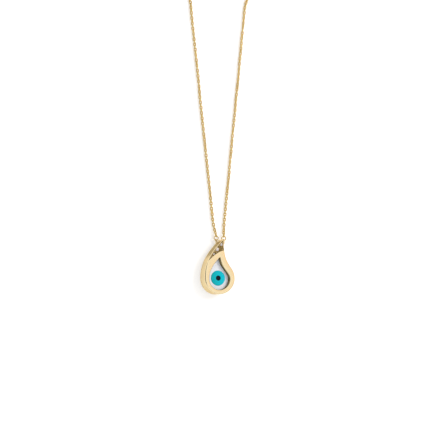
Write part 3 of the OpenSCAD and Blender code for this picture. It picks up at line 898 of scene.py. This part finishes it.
def cut_stone(name, node, twist):
    """A brilliant in the place of a measured stone, turned by a twist in radians. Each facet gets a
    painted light value of its own between 0 and 1, a painted reflection that makes neighbouring facets
    differ as they do in a cut stone."""
    low, high = corners(node)
    middle, diameter = ((low + high) / 2)[:2], (high - low)[0]
    girdle_z = high[2] - 0.16 * diameter
    c, s = math.cos(twist), math.sin(twist)
    points = brilliant_corners(diameter) @ np.array([[c, s, 0], [-s, c, 0], [0, 0, 1]])
    points += [*middle, girdle_z]
    mesh = bpy.data.meshes.new(name)
    mesh.from_pydata((points * MM).tolist(), [], [])
    work = bmesh.new()
    work.from_mesh(mesh)
    bmesh.ops.convex_hull(work, input=work.verts)
    bmesh.ops.dissolve_limit(work, angle_limit=math.radians(1), verts=work.verts, edges=work.edges)
    bmesh.ops.recalc_face_normals(work, faces=work.faces)
    work.to_mesh(mesh)
    work.free()
    # Painted reflection: a random light value for each facet.
    shades = np.random.default_rng(round(100 * twist)).random(len(mesh.polygons)).astype(np.float32)
    mesh.attributes.new("facet", "FLOAT", "FACE").data.foreach_set("value", shades ** 0.7)
    mount(name, mesh, "drop", clear, (node,))
    return middle, diameter


stones = [cut_stone(*stone) for stone in (("brilliant_top", "top_stone", 0.2),
                                          ("brilliant_middle", "middle_stone", 0.5),
                                          ("brilliant_lowest", "lowest_stone", 0.9))]
print("stones:", [f"{d:.1f} mm" for _, d in stones])


# %% Helpers for beads
def beads(middles, radius, around=10, rows=7):
    """A round bead at every middle: rings of latitude between two poles."""
    lat = np.linspace(-np.pi / 2, np.pi / 2, rows)
    lon = full_turn(around)
    ball = np.stack([np.cos(lat)[:, None] * np.cos(lon), np.cos(lat)[:, None] * np.sin(lon),
                     np.sin(lat)[:, None] + 0 * lon], axis=2).reshape(-1, 3)
    points = middles[:, None] + radius * ball
    faces = grid_faces(rows, around)[None] + (np.arange(len(middles)) * len(ball))[:, None, None]
    return points.reshape(-1, 3), faces.reshape(-1, 4)


def inside(outline, points):
    """True where the outline turns once round a point: the angles to its corners add up to a turn."""
    to_corner = outline[None] - points[:, None]
    nxt = np.roll(to_corner, -1, axis=1)
    cross = to_corner[..., 0] * nxt[..., 1] - to_corner[..., 1] * nxt[..., 0]
    return np.abs(np.arctan2(cross, (to_corner * nxt).sum(axis=2)).sum(axis=1)) > np.pi


def clear_of(points, others, gap):
    """True where a point is further than the gap from all the others."""
    return np.linalg.norm(points[:, None] - others[None], axis=2).min(axis=1) > gap


def evenly(points, spacing):
    """Points along a line, at about this spacing."""
    along = length_along(points)
    at = np.linspace(0, along[-1], round(along[-1] / spacing) + 1)
    return np.stack([np.interp(at, along, points[:, k]) for k in range(2)], axis=1)


# %% Grains and claws that hold the stones, beads along the rims and on the ground between
plate_top = corners("stone_plate")[1][2]
grain_r, claw_r, bead_r, ground_r = 0.16, 0.1, 0.13, 0.11
grains = tip + np.array([(-0.4, -0.9), (-1.07, -1.95), (-0.5, -2.2), (-0.4, -2.88), (-2.45, -3.55),
                         (-2.1, -3.75), (-3.3, -4.85)])
quarters = full_turn(4)
claws = np.concatenate([
    middle + (diameter / 2 + 0.03) * np.stack([np.cos(quarters + turn), np.sin(quarters + turn)], axis=1)
    for (middle, diameter), turn in zip(stones, (0.5, 0.2, 0.9))])
claws = claws[distance_to(field_outline, claws)[0] > 0.12]

bead_line, bead_step = inset(drop_outline, rim_w + 0.16), 0.4
rim_beads = np.concatenate([evenly(bead_line[right_from + 3:right_to - 2], bead_step),
                            evenly(bead_line[left_from + 3:left_to - 4], bead_step)])

ground_step = 0.36
i, j = (n.reshape(-1) for n in np.meshgrid(np.arange(24), np.arange(24)))
ground = field_outline.min(axis=0) + ground_step * np.stack([i + 0.5 * (j % 2), 0.87 * j], axis=1)
ground = ground[inside(field_outline, ground)]
ground = ground[distance_to(field_outline, ground)[0] > 0.2]
for others, gap in (*((middle[None], diameter / 2 + 0.13) for middle, diameter in stones),
                    (rim_beads, 0.25), (grains, 0.28), (claws, 0.22)):
    ground = ground[clear_of(ground, others, gap)]
make_piece("setting_beads", *joined([
    beads(at_height(spots, z), r) for spots, z, r in (
        (grains, plate_top, grain_r), (claws, plate_top + 0.08, claw_r),
        (rim_beads, face_z - 0.16, bead_r), (ground, plate_top, ground_r))]),
           "drop", fitting_gold, ("setting_grains",), "polished_gold", 60)
print(len(rim_beads), "beads along the rims,", len(ground), "on the ground between")

# %% [markdown]
# ## Hanging eyes, rings and clasp
#
# Rings are wires bent round, each with the fine line where its ends were soldered. The two
# hanging eyes are cast with the drop: a loop and an arm that runs back into its side.

# %% Wire rings
def wire_ring(mid_r, wire_r, joint_at=90.0, around=72, sides=16):
    """A round wire bent to a ring in the flat plane. The wire is a little thinner in a narrow band
    at the soldered joint. Its inner side carries painted shade, darkest where it faces the ring's
    middle."""
    a, s = full_turn(around), full_turn(sides)
    off = (np.degrees(a) - joint_at + 180) % 360 - 180
    r = wire_r * (1 - 0.07 * np.exp(-(off / 4.0) ** 2))[:, None]
    out = mid_r + r * np.cos(s)
    points = np.stack([out * np.cos(a)[:, None], out * np.sin(a)[:, None], r * np.sin(s)], axis=2)
    # Painted shade on the ring's inner side.
    inner_shade = np.broadcast_to(0.75 * np.clip(-np.cos(s), 0, 1), (around, sides))
    return points.reshape(-1, 3), grid_faces(around, sides, wrap_rows=True), inner_shade.reshape(-1)


def standing(points, axis):
    """Flat points stood upright: the plane's normal turned to X or to Y."""
    x, y, z = points.T
    return np.stack([z, x, y] if axis == 0 else [x, z, y], axis=1)


for name, node, body, axis, joint in (
        ("jump_ring_left", "left_jump_ring", "chain", 2, 150),
        ("jump_ring_right", "right_jump_ring", "chain", 2, 30),
        ("link_ring_clasp", "clasp_link_ring", "chain", 1, 60),
        ("link_ring_catch", "catch_link_ring", "chain", 0, 60),
        ("catch_ring_round", "catch_ring", "catch", 2, 35)):
    low, high = corners(node)
    mid_r = (high - low)[0 if axis else 1] / 2 - wire_r
    points, faces, inner_shade = wire_ring(mid_r, wire_r, joint)
    points = points if axis == 2 else standing(points, axis)
    make_piece(name, points + (low + high) / 2, faces, body, fitting_gold, (node,), "fittings_gold", 180,
               painted_shade=inner_shade)


# %% Hanging eyes
def swept(path, half_side, half_up, sides, up=(0, 0, 1.0), corner=1.0):
    """A bar carried along a path and closed by its end faces. At angle s its section reaches
    half_side cos s sideways and half_up sin s upwards, with both drawn towards the corners where
    the corner power is below one. Sideways is square to the path and to the up direction, which
    the path never follows."""
    path = np.asarray(path, float)
    along = unit(np.gradient(path, axis=0))
    side = unit(np.cross(along, up))
    above = np.cross(side, along)
    s = full_turn(sides)
    points = (path[:, None] + half_side * squarer(np.cos(s), corner)[None, :, None] * side[:, None]
              + half_up * squarer(np.sin(s), corner)[None, :, None] * above[:, None])
    faces = grid_faces(len(path), sides).tolist()
    last = (len(path) - 1) * sides
    return points.reshape(-1, 3), faces + [list(range(sides))[::-1], list(range(last, last + sides))]


eye_mid_r, eye_wire_r, eye_half_wide = 0.335, 0.085, 0.2
arm_end = -0.29                                          # where an arm meets its loop's lower side
for name, node in (("hanging_eye_left", "left_eye"), ("hanging_eye_right", "right_eye")):
    low, high = corners(node)
    swing_y, swing_z = high[1] - eye_mid_r - eye_wire_r, (low[2] + high[2]) / 2
    ring_x = high[0] - eye_half_wide
    a, s = full_turn(48), full_turn(16)
    loop_r = eye_mid_r + eye_wire_r * np.cos(s)[None]
    loop = np.stack([ring_x + eye_half_wide * squarer(np.sin(s), 0.7) + 0 * a[:, None],
                     swing_y + loop_r * np.cos(a)[:, None], swing_z + loop_r * np.sin(a)[:, None]],
                    axis=2).reshape(-1, 3)
    loop_part = (loop, grid_faces(48, 16, wrap_rows=True))
    if node == "left_eye":
        route = [(ring_x, -1.4), (ring_x, -0.8), (ring_x, arm_end)]
    else:
        route = [(tip[0] - 0.2, -1.1), (ring_x - 0.7, -1.1), (ring_x - 0.2, -1.03), (ring_x, -0.8),
                 (ring_x, arm_end)]
    arm, _ = smooth_path([(x, swing_y + y, swing_z) for x, y in route], 0.08)
    make_piece(name, *joined([loop_part, swept(arm, 0.18, 0.28, 20, corner=0.6)]), "drop",
               polished_gold, (node,), "polished_gold", 50)

# %% [markdown]
# ## Clasp
#
# A spring-ring clasp is a bent tube with a mouth. A bar slides inside it on a spring and closes
# the mouth; its thumb pin comes out through a slot. The tube's skin is one grid with the slot
# left out, and Solidify gives it its wall.

# %% Clasp tube, eye, trigger and spring
tube_low, tube_high = corners("clasp_tube")
clasp_r, skin_r, tube_wall, clasp_z = 2.2, 0.575, 0.18, 0.6
clasp_at = np.array([(tube_low[0] + tube_high[0]) / 2, (tube_low[1] + tube_high[1]) / 2, clasp_z])
mouth_end, mouth_start = 70, 380
slot_from, slot_to, slot_half_angle = 82.3, 139.7, 25.7


def bent_tube(arc_angles, section_angles, radius):
    """Skin of a round tube bent round the clasp's middle. The radius may change along the bend."""
    u, v = np.radians(arc_angles)[:, None], np.radians(section_angles)[None]
    r = np.broadcast_to(radius, len(arc_angles))[:, None]
    out = clasp_r + r * np.cos(v)
    points = np.stack([out * np.cos(u), out * np.sin(u), r * np.sin(v) + 0 * u], axis=2)
    return points.reshape(-1, 3) + clasp_at


around = np.concatenate([np.linspace(mouth_end, slot_from, 5), np.linspace(slot_from, slot_to, 19)[1:],
                         np.linspace(slot_to, mouth_start, 73)[1:]])
section = np.concatenate([np.linspace(-slot_half_angle, slot_half_angle, 5),
                          np.linspace(slot_half_angle, 360 - slot_half_angle, 25)[1:-1]])
lip = 1 + 0.035 * sum(np.exp(-((around - end) / 3) ** 2) for end in (mouth_end, mouth_start))
lip[0] = lip[-1] = 0.98
skin = grid_faces(len(around), len(section))
row, column = skin[:, 0] // len(section), skin[:, 0] % len(section)
in_slot = (around[row] >= slot_from - 0.01) & (around[row] < slot_to - 0.01) & (column < 4)
tube = make_piece("clasp_spring_ring", bent_tube(around, section, skin_r * lip), skin[~in_slot][:, ::-1],
                  "clasp", fitting_gold, ("clasp_tube",), "fittings_gold", 60, False)
shell = tube.modifiers.new("tube_wall", "SOLIDIFY")
shell.thickness, shell.offset = tube_wall * MM, -1.0
edge = tube.modifiers.new("soft_lip", "BEVEL")
edge.width, edge.segments, edge.limit_method = 0.03 * MM, 2, "ANGLE"
edge.angle_limit = math.radians(55)

eye_low, eye_high = corners("clasp_eye")
points, faces, inner_shade = wire_ring(0.55, wire_r, 150)
make_piece("clasp_loop", points + [eye_low[0] + 0.7, (eye_low[1] + eye_high[1]) / 2, clasp_z], faces,
           "clasp", fitting_gold, ("clasp_eye",), "fittings_gold", 180, painted_shade=inner_shade)

bar_tip, bar_neck, bar_end, bar_r, nose = 13, 22, 102, 0.37, 0.25
bar_angles = np.concatenate([np.linspace(bar_tip, bar_neck, 8), np.linspace(bar_neck, bar_end, 30)[1:]])
from_end = np.radians(bar_angles - bar_tip) * clasp_r
bar_radius = bar_r * np.sqrt(np.clip(1 - np.clip(1 - from_end / nose, 0, 1) ** 2, 0.02, 1))
bar = bent_tube(bar_angles, np.linspace(0, 360, 25)[:-1], bar_radius)
bar_faces = grid_faces(len(bar_angles), 24).tolist()
bar_faces += [list(range(24)), list(range(len(bar) - 24, len(bar)))[::-1]]
pin_profile = [(0, 0), (0.18, 0), (0.18, 0.62), (0.2, 0.7), (0.26, 0.78), (0.28, 0.9), (0.25, 1.01),
               (0.15, 1.08), (0, 1.1)]
pin, pin_faces = turned(pin_profile, (0, 0), 32)
pin = np.stack([pin[:, 0], pin[:, 2] + clasp_r, -pin[:, 1]], axis=1) + clasp_at
make_piece("clasp_thumb_bar", *joined([(bar, bar_faces), (pin, pin_faces)]), "trigger", fitting_gold,
           ("clasp_trigger",), "fittings_gold", 50)


def round_thread(line, radius, sides):
    """A round thread along a line of points, closed at both ends."""
    return swept(line, radius, radius, sides, up=(0.31, 0.17, 0.94))


def coil_wire(turns, from_angle, to_angle, coil_radius, thread, per_turn=14):
    """A helix wound round the bent middle line of the tube, as a round wire."""
    k = np.arange(turns * per_turn + 1)
    u = np.radians(from_angle + (to_angle - from_angle) * k / k[-1])
    v = 2 * np.pi * k / per_turn
    out = clasp_r + coil_radius * np.cos(v)
    line = np.stack([out * np.cos(u), out * np.sin(u), coil_radius * np.sin(v)], axis=1) + clasp_at
    return round_thread(line, thread, 6)


spring_start = 176
spring = make_piece("clasp_coil_spring", *coil_wire(10, spring_start, 103, 0.29, 0.045), None, steel,
                    ("clasp_spring",), "spring_steel", 180)


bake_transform(spring)

# %% [markdown]
# ## Threads round the stored coils
#
# A shop ties a stored chain with a few turns of cotton. Each tie is one thread wound round the
# section of its coil, a thread's width further along with each turn, and its ends are tucked
# against the coil.

# %% Cotton thread and the two ties
cotton, shader, where = new_material("cotton_thread")
twist = where.id_data.nodes.new("ShaderNodeTexWave")
twist.wave_type, twist.bands_direction = "BANDS", "DIAGONAL"
feed(twist, Vector=where, Scale=2600, Distortion=1.5)
feed(shader, Base_Color=mixed(twist.outputs["Fac"], (0.72, 0.70, 0.66), (0.88, 0.87, 0.84)),
     Normal=bumped(twist.outputs["Fac"], 0.02), Roughness=0.85, Sheen_Weight=0.3)


def coil_thread(centre_x, turn_degrees, turns=7, per_turn=28):
    """A thread round a coil's section. At angle a round the section it lies on a rounded square,
    and it moves along the coil by one thread's width a turn."""
    half_wide, half_high, corner, tie_width, thread_r = 1.0, 0.985, 0.35, 0.68, 0.05
    k = np.arange(turns * per_turn + 1)
    a = 2 * np.pi * k / per_turn
    out = half_wide * squarer(np.cos(a), corner)
    rise = half_high * squarer(np.sin(a), corner)
    shift = (k / k[-1] - 0.5) * tie_width
    t = math.radians(turn_degrees)
    radial, tangent = np.array([math.cos(t), math.sin(t), 0]), np.array([-math.sin(t), math.cos(t), 0])
    middle = np.array([centre_x, coil_y, 0.1 + chain_width])
    line = (middle + (coil_r + out)[:, None] * radial + shift[:, None] * tangent
            + rise[:, None] * np.array([0, 0, 1.0]))
    return round_thread(line, thread_r, 8)


for name, node, x, at in (("coil_thread_left", "left_coil_tie", left_coil_x, -45),
                          ("coil_thread_right", "right_coil_tie", right_coil_x, 225)):
    make_piece(name, *coil_thread(x, at), "chain", cotton, (node,), "thread", 180)


# %% Parts that keep their measured shape
for node, material in (("stone_plate", shaded_seat_gold), ("cement_bed", plaster)):
    nodes[node].data.materials.clear()
    nodes[node].data.materials.append(material)
